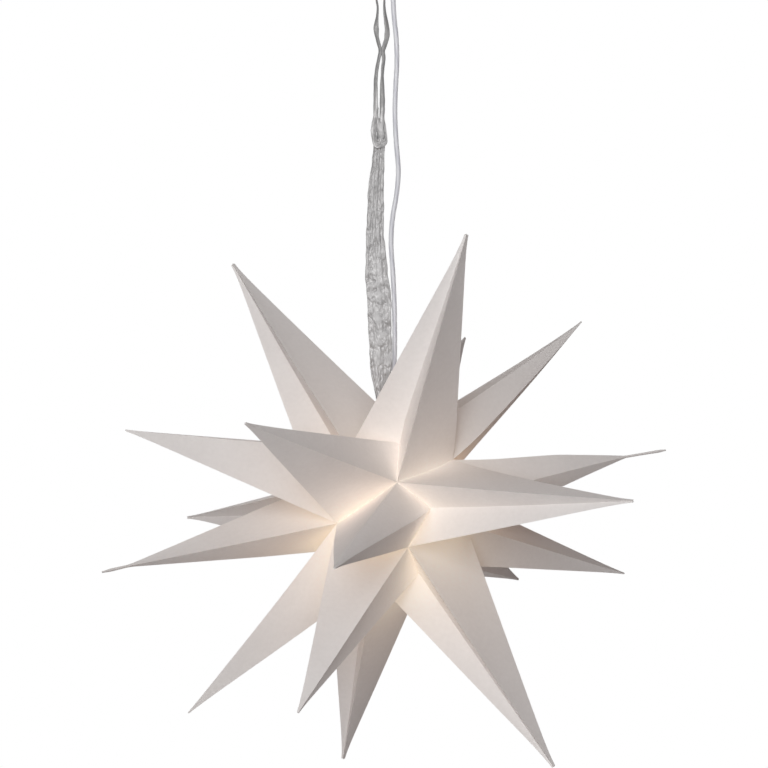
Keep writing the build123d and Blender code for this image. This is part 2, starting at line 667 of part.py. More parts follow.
with BuildPart() as screw_shell:
    # Thin metal sleeve with a flange against the insert and rolled ridges along it.
    shell_foot = HOLDER_BOTTOM + 3.0
    with BuildSketch(lamp_side):
        with BuildLine():
            Polyline(
                (SHELL_RADIUS - 3.0, shell_top), (SHELL_RADIUS + SHELL_WALL, shell_top),
                (SHELL_RADIUS + SHELL_WALL, shell_foot + 0.8),
                (SHELL_RADIUS + SHELL_WALL + 1.0, shell_foot),
                (SHELL_RADIUS + 1.0, shell_foot), (SHELL_RADIUS, shell_foot + 0.8),
                (SHELL_RADIUS, shell_top - SHELL_WALL),
                (SHELL_RADIUS - 3.0, shell_top - SHELL_WALL), close=True,
            )
        make_face()
    revolve(axis=lamp_axis)
save(screw_shell.part, "screw_shell")

with BuildPart() as centre_contact:
    # Springy tongue from the insert down to the lamp's foot contact.
    tongue_low = LAMP_CAP_TOP + 0.3
    with BuildSketch(upright(lamp_x, lamp_y - 1.5, star_z)):
        with BuildLine():
            Polyline(
                (-3.2, shell_top), (-3.2, shell_top - 0.4), (-0.6, tongue_low),
                (1.6, tongue_low), (3.0, tongue_low + 1.2), (2.7, tongue_low + 1.5),
                (1.4, tongue_low + 0.4), (-0.4, tongue_low + 0.4),
                (-2.0, shell_top), close=True,
            )
        make_face()
    extrude(amount=-3.0)
save(centre_contact.part, "centre_contact")

# ---------------------------------------------------------------- lamp
with BuildPart() as lamp_cap:
    # Screw cap with rounded thread ridges, drawn as rings of one pitch.
    top = LAMP_CAP_TOP - 3.0
    root = LAMP_CAP_RADIUS - THREAD_DEPTH
    with BuildSketch(lamp_side):
        with BuildLine():
            flank = [(0, top), (4.0, top), (root, top - 1.6)]
            for ring in range(THREAD_RINGS):
                start = top - 1.6 - ring * THREAD_PITCH
                flank.append((LAMP_CAP_RADIUS, start - THREAD_PITCH * 0.35))
                flank.append((LAMP_CAP_RADIUS, start - THREAD_PITCH * 0.65))
                flank.append((root, start - THREAD_PITCH))
            Polyline(*flank, (root, HOLDER_BOTTOM), (0, HOLDER_BOTTOM), close=True)
        make_face()
    revolve(axis=lamp_axis)
save(lamp_cap.part, "lamp_cap")

with BuildPart() as lamp_insulator:
    with BuildSketch(Plane((lamp_x, lamp_y, star_z + LAMP_CAP_TOP - 3.0))):
        Circle(4.0)
    with BuildSketch(Plane((lamp_x, lamp_y, star_z + LAMP_CAP_TOP - 1.2))):
        Circle(2.6)
    loft()
save(lamp_insulator.part, "lamp_insulator")

with BuildPart() as foot_contact:
    with BuildSketch(Plane((lamp_x, lamp_y, star_z + LAMP_CAP_TOP - 1.2))):
        Circle(2.0)
    extrude(amount=1.2)
    fillet(foot_contact.edges().sort_by(Axis.Z)[-1], 0.8)
save(foot_contact.part, "foot_contact")

globe_neck_z = GLOBE_CENTRE + math.sqrt(GLOBE_RADIUS ** 2 - NECK_RADIUS ** 2)
with BuildPart() as lamp_collar:
    # Flared housing between the screw cap and the globe.
    with BuildSketch(lamp_side):
        with BuildLine():
            top_line = Line((0, HOLDER_BOTTOM), (LAMP_CAP_RADIUS + 0.6, HOLDER_BOTTOM))
            side_line = Spline(
                top_line @ 1,
                (LAMP_CAP_RADIUS + 3.6, (HOLDER_BOTTOM + globe_neck_z) / 2),
                (NECK_RADIUS, globe_neck_z + 1.5),
            )
            low = Line(side_line @ 1, (NECK_RADIUS, globe_neck_z))
            Polyline(low @ 1, (0, globe_neck_z), (0, HOLDER_BOTTOM))
        make_face()
    revolve(axis=lamp_axis)
save(lamp_collar.part, "lamp_collar")

with BuildPart() as lamp_globe:
    # Opal globe, open at its neck, where the collar closes it.
    with Locations((lamp_x, lamp_y, star_z + GLOBE_CENTRE)):
        Sphere(GLOBE_RADIUS)
        Sphere(GLOBE_RADIUS - GLOBE_WALL, mode=Mode.SUBTRACT)
    split(bisect_by=Plane.XY.offset(star_z + globe_neck_z), keep=Keep.BOTTOM)
save(lamp_globe.part, "lamp_globe")

print("star centre", STAR_SIDE, 0, round(star_z, 3), "hook wire", round(hook_wire_z, 3))
print("seam entry", [round(v, 3) for v in seam_entry])
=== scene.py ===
"""Folded paper star pendant: paper leaves, crushed ribbon, clear cable and their finishes."""
import math

import bpy
import numpy as np
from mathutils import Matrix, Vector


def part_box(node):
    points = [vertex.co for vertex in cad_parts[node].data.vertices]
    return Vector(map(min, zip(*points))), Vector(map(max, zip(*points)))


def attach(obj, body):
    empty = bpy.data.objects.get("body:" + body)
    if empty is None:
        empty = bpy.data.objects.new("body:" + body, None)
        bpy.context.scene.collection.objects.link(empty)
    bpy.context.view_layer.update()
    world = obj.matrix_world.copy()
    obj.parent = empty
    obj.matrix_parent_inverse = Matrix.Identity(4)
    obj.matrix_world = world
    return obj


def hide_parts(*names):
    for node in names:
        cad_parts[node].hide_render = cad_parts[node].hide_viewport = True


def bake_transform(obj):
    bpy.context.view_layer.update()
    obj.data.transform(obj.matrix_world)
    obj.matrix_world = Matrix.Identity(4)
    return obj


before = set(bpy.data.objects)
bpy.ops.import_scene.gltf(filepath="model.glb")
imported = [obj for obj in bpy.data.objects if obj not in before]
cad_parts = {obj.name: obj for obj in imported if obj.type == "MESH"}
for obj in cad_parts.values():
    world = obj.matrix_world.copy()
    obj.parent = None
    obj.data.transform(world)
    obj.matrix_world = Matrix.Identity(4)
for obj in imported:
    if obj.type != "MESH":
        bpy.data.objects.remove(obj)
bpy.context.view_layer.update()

MM = 0.001
scene = bpy.context.scene

# ---------------------------------------------------------------- camera
# Level, straight ahead, framed on the picture's own square.
CAMERA_PLACE = (0.00373, -2.384, -0.43983)
CAMERA_FIELD = math.radians(18.0)
camera_data = bpy.data.cameras.new("camera")
camera_data.sensor_fit = "HORIZONTAL"
camera_data.sensor_width = 36.0
camera_data.lens = camera_data.sensor_width / 2 / math.tan(CAMERA_FIELD / 2)
camera_data.clip_end = 50.0
camera = bpy.data.objects.new("camera", camera_data)
camera.location = CAMERA_PLACE
camera.rotation_euler = (math.pi / 2, 0, 0)
scene.collection.objects.link(camera)
scene.camera = camera

# ---------------------------------------------------------------- the star's own frame
STAR_CENTRE = np.array([9.5, 0.0, -559.0])
STAR_HEADING = math.radians(47.0)
STAR_RISE = math.radians(11.4)
STAR_ROLL = math.radians(-3.2)
polar = np.array([
    math.cos(STAR_RISE) * math.cos(STAR_HEADING),
    math.cos(STAR_RISE) * math.sin(STAR_HEADING),
    math.sin(STAR_RISE),
])
upmost = np.array([0.0, 0.0, 1.0]) - polar * polar[2]
upmost /= np.linalg.norm(upmost)
spoke = upmost * math.cos(STAR_ROLL) + np.cross(polar, upmost) * math.sin(STAR_ROLL)
side_spoke = np.cross(polar, spoke)


def star_point(radius, height, turn):
    """Centre + spoke r cos a + side spoke r sin a + polar axis h, in mm."""
    angle = np.radians(turn)
    return (
        STAR_CENTRE
        + np.multiply.outer(radius * np.cos(angle), spoke)
        + np.multiply.outer(radius * np.sin(angle), side_spoke)
        + np.multiply.outer(height, polar)
    )


# ---------------------------------------------------------------- mesh making
def grid_quads(rows, columns, ring=False):
    """Quads of a grid of points numbered row by row; a ring joins its last column to its
    first."""
    index = np.arange(rows * columns).reshape(rows, columns)
    if ring:
        index = np.concatenate([index, index[:, :1]], axis=1)
    corners = (index[:-1, :-1], index[:-1, 1:], index[1:, 1:], index[1:, :-1])
    return np.stack(corners, axis=-1).reshape(-1, 4)


def skin_both_sides(count, quads, fans=()):
    """A surface's faces, the same faces turned round on a second layer of points numbered
    from count up, and a rim between the layers along every open edge."""
    groups = [np.asarray(faces) for faces in (quads, fans) if len(faces)]
    edges = np.concatenate([
        np.stack([faces, np.roll(faces, -1, axis=1)], axis=-1).reshape(-1, 2)
        for faces in groups
    ])
    open_edges = edges[~np.isin(
        edges[:, 0] * count + edges[:, 1], edges[:, 1] * count + edges[:, 0]
    )]
    start, end = open_edges.T
    rim = np.stack([end, start, start + count, end + count], axis=-1)
    faces = []
    for group in groups:
        faces += group.tolist()
        faces += (group[:, ::-1] + count).tolist()
    return faces + rim.tolist()


def add_mesh(name, points, faces, crease_angle=None):
    """A mesh object from points in mm. Faces are turned outwards if the volume they enclose
    comes out negative."""
    points = np.asarray(points, float)
    corners = np.array([face[:3] for face in faces])
    first, second, third = (points[corners[:, k]] for k in range(3))
    fourth = points[np.array([face[-1] for face in faces])]
    volume = np.einsum("ij,ij->", first, np.cross(second, third))
    volume += np.einsum("ij,ij->", first, np.cross(third, fourth))
    if volume < 0:
        faces = [face[::-1] for face in faces]
    mesh = bpy.data.meshes.new(name)
    mesh.from_pydata((points * MM).tolist(), [], faces)
    mesh.shade_smooth()
    if crease_angle:
        mesh.set_sharp_from_angle(angle=math.radians(crease_angle))
    piece = bpy.data.objects.new(name, mesh)
    scene.collection.objects.link(piece)
    return piece


def give_values(piece, name, values):
    """A number for each point of the mesh, for its material to read."""
    attribute = piece.data.attributes.new(name, "FLOAT", "POINT")
    attribute.data.foreach_set("value", np.asarray(values, np.float32).ravel())


def smooth_line(name, points):
    """Points of an order-3 NURBS spline with these control points, in mm."""
    curve = bpy.data.curves.new(name, "CURVE")
    curve.dimensions = "3D"
    curve.resolution_u = 24
    spline = curve.splines.new("NURBS")
    spline.points.add(len(points) - 1)
    metres = np.concatenate([np.array(points) * MM, np.ones((len(points), 1))], axis=1)
    spline.points.foreach_set("co", metres.ravel())
    spline.order_u = 3
    spline.use_endpoint_u = True
    line = bpy.data.objects.new(name, curve)
    scene.collection.objects.link(line)
    bpy.context.view_layer.update()
    mesh = bpy.data.meshes.new_from_object(line)
    places = np.empty(len(mesh.vertices) * 3)
    mesh.vertices.foreach_get("co", places)
    bpy.data.objects.remove(line)
    bpy.data.curves.remove(curve)
    bpy.data.meshes.remove(mesh)
    return places.reshape(-1, 3) / MM


def along(line):
    """Distance from the line's start to each of its points."""
    steps = np.linalg.norm(np.diff(line, axis=0), axis=1)
    return np.concatenate([[0.0], np.cumsum(steps)])


def even_line(line, count):
    """The line's points taken again at even distances."""
    distance = along(line)
    wanted = np.linspace(0, distance[-1], count)
    return np.stack([np.interp(wanted, distance, line[:, k]) for k in range(3)], axis=-1)


def line_frame(line, across):
    """For each point of a line: its direction, the part of 'across' square to it, and the
    third direction square to both."""
    way = np.gradient(line, axis=0)
    way /= np.linalg.norm(way, axis=1, keepdims=True)
    first = across - way * (way @ across)[:, None]
    first /= np.linalg.norm(first, axis=1, keepdims=True)
    return way, first, np.cross(way, first)


# ---------------------------------------------------------------- cable
CABLE_RADIUS = 2.4
CABLE_ROUTE = (
    (12.0, 0.0, -20.0),
    (11.9, 0.0, -66.0),
    (17.5, 0.6, -112.0),
    (14.0, 1.6, -164.0),
    (15.4, 2.2, -200.0),
    (19.2, 2.8, -238.0),
    (9.2, 3.4, -290.0),
    (13.4, 4.4, -340.0),
    (14.5, 5.8, -388.0),
    (13.8, 8.4, -430.0),
    (4.96525, 4.22872, -473.0),
    (4.96525, 4.22872, -508.0),
)
cable_line = smooth_line("cable_line", CABLE_ROUTE)


def tube(name, line, radius, sides=20):
    """Round tube: line point + radius (cos a first + sin a second), a round the section,
    with a flat disc on each end."""
    _, first, second = line_frame(line, np.array([0.0, 1.0, 0.0]))
    angle = np.linspace(0, 2 * np.pi, sides, endpoint=False)
    ring = (
        np.cos(angle)[None, :, None] * first[:, None]
        + np.sin(angle)[None, :, None] * second[:, None]
    )
    points = (line[:, None] + radius * ring).reshape(-1, 3)
    faces = grid_quads(len(line), sides, ring=True).tolist()
    last = (len(line) - 1) * sides
    faces += [list(range(sides))[::-1], list(range(last, last + sides))]
    piece = add_mesh(name, points, faces, crease_angle=50)
    give_values(piece, "run", np.repeat(along(line), sides) * MM)
    give_values(piece, "round", np.tile(angle, len(line)))
    return piece


cable_piece = tube("cable_sheath", cable_line, CABLE_RADIUS)
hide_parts("cable")
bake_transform(cable_piece)

# ---------------------------------------------------------------- paper leaves
BELT_TIP = (300.0, 0.0)
CORNERS = {
    "pole_a": (0.0, 76.0),
    "pole_b": (0.0, -76.0),
    "tip_a": (155.0, 245.0),
    "tip_b": (155.0, -245.0),
    "tip_belt": BELT_TIP,
    "dip_a": (75.5, 16.5),
    "dip_b": (75.5, -16.5),
    "valley_a": (64.5, 42.5),
    "valley_b": (64.5, -42.5),
}
ON_VALLEY = ("pole_a", "valley_a", "valley_b", "pole_b")
PANELS = (
    ("tip_a", "pole_a", "valley_a"),
    ("tip_a", "valley_a", "dip_a"),
    ("tip_belt", "dip_a", "valley_a"),
    ("tip_belt", "valley_a", "valley_b"),
    ("tip_belt", "valley_b", "dip_b"),
    ("tip_b", "dip_b", "valley_b"),
    ("tip_b", "valley_b", "pole_b"),
)
GORE_TURNS = (32.0, 90.5, 149.5, 206.0, 268.5, 328.0)
PAPER = 0.5
SEAM_GAP = 3.4                    # each lip of the closing seam drawn back at the ribbon
SEAM_HALF = 17.0                  # half the length of that opening
SEAM_HEIGHT = 13.0                # its middle, along the seam
SEAM_FADE = 14.0                  # how fast it fades away from the seam
TIP_BLUNT = {"tip_a": 0.024, "tip_b": 0.024, "tip_belt": 0.036}
TIP_POWER = 18                    # how near to the tip the bluntness stays
INNER_BLUNT = 0.1                 # bluntness of the card's inner side over the outer's
BOW = 1.5                         # most that a panel stands out or in at its middle
SHARP_CREASE = 14                 # degrees
DOWN_STEPS = 30
ACROSS_STEPS = 24


def inset(ridge_turn, valley_turn, depth):
    """Each corner moved inwards within its own upright plane, as near as it can be to this
    depth below every panel that meets it (least squares of the panels' normals)."""
    turns = {name: valley_turn if name in ON_VALLEY else ridge_turn for name in CORNERS}
    outer = {name: star_point(*CORNERS[name], turns[name]) - STAR_CENTRE for name in CORNERS}
    moved = {}
    for name, (radius, height) in CORNERS.items():
        outward = star_point(1.0, 0.0, turns[name]) - STAR_CENTRE
        ways = []
        if name not in ("pole_a", "pole_b"):
            ways.append(outward)
        if name != "tip_belt":
            ways.append(polar)
        normals = []
        for panel in PANELS:
            if name in panel:
                first, second, third = (outer[corner] for corner in panel)
                normal = np.cross(second - first, third - first)
                normals.append(normal / np.linalg.norm(normal) * np.sign(normal @ first))
        slopes = np.array(normals) @ np.array(ways).T
        moves = np.linalg.lstsq(slopes, -depth * np.ones(len(normals)), rcond=None)[0]
        shift = sum(move * way for move, way in zip(moves, ways))
        moved[name] = (radius + shift @ outward, height + shift @ polar)
    return moved


def leaf_layer(corners, ridge_turn, valley_turn, bows, blunt=1.0):
    """Seven panels, each tip + s (down the point) and t (across it): the part along the
    point's axis grows as s, the part across it as s + e (1 - s)^18, which leaves the tip
    blunt. A bow of b 27 (1-s) s(1-t) s t stands on the panel, nought along its edges."""
    share = np.linspace(0, 1, DOWN_STEPS + 1) ** 1.5
    cross = np.linspace(0, 1, ACROSS_STEPS + 1)
    s, t = np.meshgrid(share, cross, indexing="ij")
    place = {
        name: star_point(*corners[name], valley_turn if name in ON_VALLEY else ridge_turn)
        for name in corners
    }
    layers = []
    creases = []
    for panel, bow in zip(PANELS, bows):
        tip, first, second = (place[name] for name in panel)
        if panel[0] == "tip_belt":
            axis = star_point(0.0, 0.0, ridge_turn) - tip
        else:
            pole = "pole_a" if panel[0] == "tip_a" else "pole_b"
            dip = "dip_a" if panel[0] == "tip_a" else "dip_b"
            axis = (place[pole] + place[dip]) / 2 - tip
        axis = axis / np.linalg.norm(axis)
        base = first + (second - first) * t[..., None] - tip
        lengthwise = (base @ axis)[..., None] * axis
        spread = s + blunt * TIP_BLUNT[panel[0]] * (1 - s) ** TIP_POWER
        normal = np.cross(first - tip, second - tip)
        area = np.linalg.norm(normal)
        normal /= area
        normal *= np.sign(normal @ (tip - STAR_CENTRE))
        crown = 27 * (1 - s) * s * (1 - t) * s * t
        layers.append(
            tip + s[..., None] * lengthwise + spread[..., None] * (base - lengthwise)
            + (bow * crown)[..., None] * normal
        )
        creases.append(s * np.minimum(
            (1 - t) * area / np.linalg.norm(second - tip),
            t * area / np.linalg.norm(first - tip),
        ))
    return np.array(layers), np.array(creases)


def leaf_numbering():
    """Which of a leaf's grid points are the same point, and its quads and tip fans. Any
    two turns serve, because every leaf has the same points in the same order."""
    no_bows = np.zeros(len(PANELS))
    flat, _ = leaf_layer(CORNERS, ridge_turn=32.0, valley_turn=61.0, bows=no_bows)
    keys = np.round(flat.reshape(-1, 3), 5)
    _, first_seen, number = np.unique(keys, axis=0, return_index=True, return_inverse=True)
    number = number.reshape(-1)
    rows, columns = DOWN_STEPS + 1, ACROSS_STEPS + 1
    cells = grid_quads(rows, columns)
    quads = np.concatenate([
        number[cells + panel * rows * columns] for panel in range(len(PANELS))
    ])
    fans = []
    middles = []
    for tip in ("tip_a", "tip_belt", "tip_b"):
        sides = [k for k, panel in enumerate(PANELS) if panel[0] == tip]
        ring = np.concatenate([
            number[k * rows * columns + np.arange(columns)][(0 if k == sides[0] else 1):]
            for k in sides
        ])
        middle = len(first_seen) + len(middles)
        middles.append((ring[0], ring[-1]))
        fans.append(np.stack(
            [ring[1:], ring[:-1], np.full(len(ring) - 1, middle)], axis=-1
        ))
    return first_seen, quads, np.concatenate(fans), np.array(middles)


leaf_points, leaf_quads, leaf_fans, tip_middles = leaf_numbering()

# How single corners of the hung star have bent: turn of the corner (degrees), its name,
# move in mm, and how far round it the paper bends.
CORNER_BENDS = (
    (32.0, "tip_a", (-3.3, 0.0, 2.0), 160.0),
    (90.5, "tip_a", (2.9, 0.0, -3.7), 160.0),
    (328.0, "tip_a", (0.2, 0.0, -4.6), 160.0),
    (206.0, "tip_belt", (0.2, 0.0, 3.4), 160.0),
    (90.5, "tip_b", (3.3, 0.0, 0.0), 160.0),
    (90.5, "dip_b", (-4.6, 0.0, 0.2), 55.0),
    (61.25, "valley_a", (-2.4, 0.0, 2.6), 55.0),
    (32.0, "dip_b", (3.0, 0.0, 0.0), 45.0),
)
# Points whose ends are squeezed to a thin stem: turn, tip, length of the stem in mm, and how
# fast the point widens after it, as a share of its full width.
SQUEEZED_ENDS = (
    (90.5, "tip_a", 38.0, 1.48),
    (268.5, "tip_b", 20.0, 1.14),
)
STEM_WIDTH = 9.0                  # a stem's width over the point's widening for each mm
# A place belongs to a point if it is no further off the point's axis than this slope times
# its distance from the tip, and this margin more.
POINT_SLOPE = 0.4
POINT_MARGIN = 2.0
# Long, low waves of the hung paper: way, length in mm, phase and height in mm.
WARP_WAVES = (
    ((0.8, 0.1, 0.6), 190.0, 0.4, 0.5),
    ((-0.3, 0.9, 0.3), 240.0, 1.9, 0.5),
    ((0.5, -0.4, 0.7), 310.0, 3.3, 0.7),
)


def squeezed(points, ridge_turn):
    """Off the point's axis, each place moves to the share k (1 - stem / d) of where it was, d
    from the tip, but no thinner than the stem and no wider than it was."""
    moved = points.copy()
    for turn, tip, stem, widening in SQUEEZED_ENDS:
        if turn != ridge_turn:
            continue
        end = star_point(*CORNERS[tip], turn)
        pole, dip = tip.replace("tip", "pole"), tip.replace("tip", "dip")
        root = (star_point(*CORNERS[pole], turn) + star_point(*CORNERS[dip], turn)) / 2
        axis = (root - end) / np.linalg.norm(root - end)
        from_end = points - end
        inward = from_end @ axis
        off_axis = from_end - inward[:, None] * axis
        widest = POINT_SLOPE * inward + POINT_MARGIN
        on_point = np.linalg.norm(off_axis, axis=-1) < widest
        distance = np.maximum(np.linalg.norm(from_end, axis=-1), 1.0)
        share = np.maximum(widening * (1 - stem / distance), STEM_WIDTH / distance)
        share = np.where(on_point, np.clip(share, 0, 1), 1.0)
        moved += (share - 1)[:, None] * off_axis
    return moved


def warped(points):
    """Soft warp of the hung paper: long, low waves, and the bends of single corners, each
    growing as the square of the nearness to its corner."""
    moved = points.copy()
    local = points - STAR_CENTRE
    for way, wave, phase, height in WARP_WAVES:
        swell = np.sin(2 * np.pi * (local @ np.array(way)) / wave + phase)
        moved += height * swell[..., None] * np.roll(way, 1)
    for turn, corner, move, reach in CORNER_BENDS:
        end = star_point(*CORNERS[corner], turn)
        near = np.clip(1 - np.linalg.norm(points - end, axis=-1) / reach, 0, 1)
        moved += (near ** 2)[..., None] * np.array(move)
    return moved


def parted_seam(points, side):
    """The lip of the closing seam drawn aside where the ribbon and the cable go in: widest
    at the middle, (1 - (h / half)^2), and fading away from the seam."""
    local = points - STAR_CENTRE
    height = (local @ polar - SEAM_HEIGHT) / SEAM_HALF
    from_seam = np.abs(local @ side_spoke)
    on_top = local @ spoke > 0
    opening = np.clip(1 - height ** 2, 0, 1) * np.exp(-from_seam / SEAM_FADE) * on_top
    return points + (side * SEAM_GAP * opening)[..., None] * side_spoke


def paper_leaf(name, ridge_turn, valley_turn, seam_side, draw):
    """One leaf: an outer and an inner layer of card, warped alike, with a rim round both.
    seam_side is 1 or -1 for the two leaves at the closing seam, and 0 for the others."""
    bows = draw.uniform(-BOW, BOW, len(PANELS))
    sheets = []
    inner = inset(ridge_turn, valley_turn, PAPER)
    for corners, blunt in ((CORNERS, 1.0), (inner, INNER_BLUNT)):
        layer, crease = leaf_layer(corners, ridge_turn, valley_turn, bows, blunt)
        layer = layer.reshape(-1, 3)[leaf_points]
        ends = (layer[tip_middles[:, 0]] + layer[tip_middles[:, 1]]) / 2
        layer = warped(squeezed(np.concatenate([layer, ends]), ridge_turn))
        if seam_side:
            layer = parted_seam(layer, seam_side)
        sheets.append(layer)
    crease = np.concatenate([crease.reshape(-1)[leaf_points], np.zeros(len(tip_middles))])
    count = len(sheets[0])
    faces = skin_both_sides(count, leaf_quads, leaf_fans)
    piece = add_mesh(f"paper_{name}", np.concatenate(sheets), faces, SHARP_CREASE)
    give_values(piece, "crease", np.tile(crease, 2) * MM)
    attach(piece, "star")
    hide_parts(name)
    return piece


leaves = []
paper_draw = np.random.default_rng(7)
for gore, turn in enumerate(GORE_TURNS):
    before = GORE_TURNS[gore - 1] - (360 if gore == 0 else 0)
    after = GORE_TURNS[(gore + 1) % 6] + (360 if gore == 5 else 0)
    low = 0.0 if gore == 0 else (before + turn) / 2
    high = 360.0 if gore == 5 else (turn + after) / 2
    leaves.append(paper_leaf(f"leaf_{gore + 1}_left", turn, low, int(gore == 0), paper_draw))
    leaves.append(paper_leaf(f"leaf_{gore + 1}_right", turn, high, -int(gore == 5), paper_draw))

# ---------------------------------------------------------------- crushed ribbon
RIBBON_WIDTH = 25.0
CLOTH = 0.14
CREASE_SPREAD = 0.6045            # a sum of creases over its coarsest wave and root of count


def thin_cloth(name, surface):
    """Cloth of one thickness about a grid surface: each point moved half the thickness to
    either side along the surface's normal, and the edges joined."""
    down = np.gradient(surface, axis=0)
    over = np.gradient(surface, axis=1)
    normal = np.cross(over, down)
    normal /= np.maximum(np.linalg.norm(normal, axis=-1, keepdims=True), 1e-9)
    rows, columns = surface.shape[:2]
    front = (surface + normal * CLOTH / 2).reshape(-1, 3)
    back = (surface - normal * CLOTH / 2).reshape(-1, 3)
    faces = skin_both_sides(rows * columns, grid_quads(rows, columns))
    return add_mesh(name, np.concatenate([front, back]), faces)


def crumple(u, v, seed, finest=3.0, coarsest=11.0, waves=11):
    """Sharp creases: a sum of folded waves 1 - 2|sin|, each in its own direction, bent by
    a slower wave. u, v and the two wave lengths in mm."""
    draw = np.random.default_rng(seed)
    total = np.zeros_like(u)
    for _ in range(waves):
        length = draw.uniform(finest, coarsest)
        angle = draw.uniform(0, np.pi)
        bend = draw.uniform(0.8, 2.0) * np.sin(
            2 * np.pi * (u * np.sin(angle) - v * np.cos(angle)) / (length * 2.7)
            + draw.uniform(0, 6)
        )
        phase = np.pi * (u * np.cos(angle) + v * np.sin(angle)) / length + bend
        total += (1 - 2 * np.abs(np.sin(phase + draw.uniform(0, 6)))) * length
    return total / (CREASE_SPREAD * coarsest * math.sqrt(waves))


# Height, middle across and in depth, width and turn (degrees), from the knot to the seam.
RIBBON_SECTIONS = np.array([
    (-199.0, -1.2, 0.4, 10.5, 0.0),
    (-208.0, -0.8, 0.2, 11.6, 0.0),
    (-218.0, -2.0, 0.0, 12.2, 0.0),
    (-246.0, -4.1, 0.0, 15.7, 0.0),
    (-291.0, -5.1, 0.0, 17.7, 0.0),
    (-336.0, -3.3, 0.0, 23.6, 0.0),
    (-350.0, -1.3, 0.0, 24.6, 0.0),
    (-393.0, 0.0, 0.0, 23.3, 0.0),
    (-423.0, 0.7, 0.0, 21.8, 0.0),
    (-441.0, 1.5, -0.2, 17.0, 8.0),
    (-461.0, 3.8, -0.7, 13.0, 25.0),
    (-496.7, 8.04, 1.365, 12.0, 47.0),
])
TAIL_ROWS = 560
TAIL_COLUMNS = 64
SMOOTHED_ROWS = 31                # rows over which the sections' numbers run into each other
FRONT_NARROWER = 0.8              # the front end, beside the rear one
HALF_APART = 1.3                  # each end's middle from the plane between them
DEEPEST = 1.2                     # most that pleats and creases stand out


def ribbon_tail(name, side, seed):
    """Gathered ribbon, in front (side -1) or behind (1): across it x = w (u - 1/2), and
    pleats stand A sin(2 pi n u) out of its plane, with A from the width that the gathers
    take up; folds and creases stand on them."""
    height = np.linspace(RIBBON_SECTIONS[0, 0], RIBBON_SECTIONS[-1, 0], TAIL_ROWS)
    sections = [
        np.interp(-height, -RIBBON_SECTIONS[:, 0], RIBBON_SECTIONS[:, k]) for k in range(1, 5)
    ]
    kernel = np.hanning(SMOOTHED_ROWS) / np.hanning(SMOOTHED_ROWS).sum()
    middle_x, middle_y, width, turn = (
        np.convolve(np.pad(values, SMOOTHED_ROWS // 2, mode="edge"), kernel, mode="valid")
        for values in sections
    )
    u = np.linspace(0, 1, TAIL_COLUMNS)
    down, over = np.meshgrid(-height, u * RIBBON_WIDTH, indexing="ij")
    width = width[:, None] - (FRONT_NARROWER if side < 0 else 0.0)
    taken_up = np.sqrt(np.maximum(RIBBON_WIDTH ** 2 - width ** 2, 4.0)) / RIBBON_WIDTH
    drift = 1.1 * np.sin(down / 37.0 + seed) + 0.6 * np.sin(down / 15.7 + 2 * seed)
    pleats = (
        np.sin(2 * np.pi * 1.5 * u + drift)
        + 0.8 * np.sin(2 * np.pi * 3.5 * u - 1.6 * drift)
        + 0.25 * np.sin(2 * np.pi * 8.0 * u + 0.8 * drift)
    )
    folds = crumple(over, down, seed, 9.0, 24.0, 7)
    creases = crumple(over, down, seed + 3, 3.5, 8.0, 8)
    depth = 0.85 * taken_up * pleats + 0.66 * folds + 0.22 * creases
    depth = np.tanh(depth / DEEPEST) * DEEPEST
    edges = np.abs(2 * u - 1) ** 6
    ragged = 0.35 * np.sin(down / 4.3 + seed + 3 * u) * np.sin(down / 11.0)
    ragged = ragged + 0.12 * np.sin(down / 1.9)
    across = width * (u - 0.5) * (1 - 0.03 * edges) + ragged * edges * np.sign(u - 0.5)
    across = across + 0.30 * folds * np.sin(np.pi * u)
    out = side * HALF_APART + depth
    angle = np.radians(turn)[:, None]
    surface = np.stack([
        middle_x[:, None] + across * np.cos(angle) - out * np.sin(angle),
        middle_y[:, None] + across * np.sin(angle) + out * np.cos(angle),
        height[:, None] + 0.25 * crumple(over + 90, down, seed + 9, 7.0, 19.0, 5),
    ], axis=-1)
    piece = thin_cloth(name, surface)
    give_values(piece, "over", np.tile(over.ravel(), 2) * MM)
    # Painted shade in the pleats' hollows and painted glints on their crests: the depth, scaled,
    # for the satin to read.
    give_values(piece, "fold_shade_and_glint", np.tile((depth / 2.9 + 0.52).ravel(), 2))
    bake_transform(piece)
    return piece


ribbon_front = ribbon_tail("ribbon_tail_front", -1, 21)
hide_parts("ribbon_front")
ribbon_rear = ribbon_tail("ribbon_tail_rear", 1, 34)
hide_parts("ribbon_rear")

LOOP_ROUTE = (
    (-3.6, 0.0, -192.0),
    (-4.0, 0.0, -180.0),
    (-4.4, 0.0, -160.0),
    (-4.7, 0.0, -138.0),
    (-1.8, 0.0, -121.0),
    (0.5, 0.0, -112.0),
    (-2.4, 0.0, -103.0),
    (-4.8, 0.0, -90.0),
    (-1.8, 0.0, -71.0),
    (-4.2, 0.0, -60.0),
    (-4.2, 0.0, -46.8),
    (4.2, 0.0, -46.8),
    (4.2, 0.0, -60.0),
    (4.0, 0.0, -74.0),
    (7.9, 0.0, -95.0),
    (4.6, 0.0, -107.0),
    (2.4, 0.0, -112.5),
    (4.0, 0.0, -119.0),
    (1.9, 0.0, -134.0),
    (2.3, 0.0, -162.0),
    (1.6, 0.0, -180.0),
    (1.0, 0.0, -192.0),
)
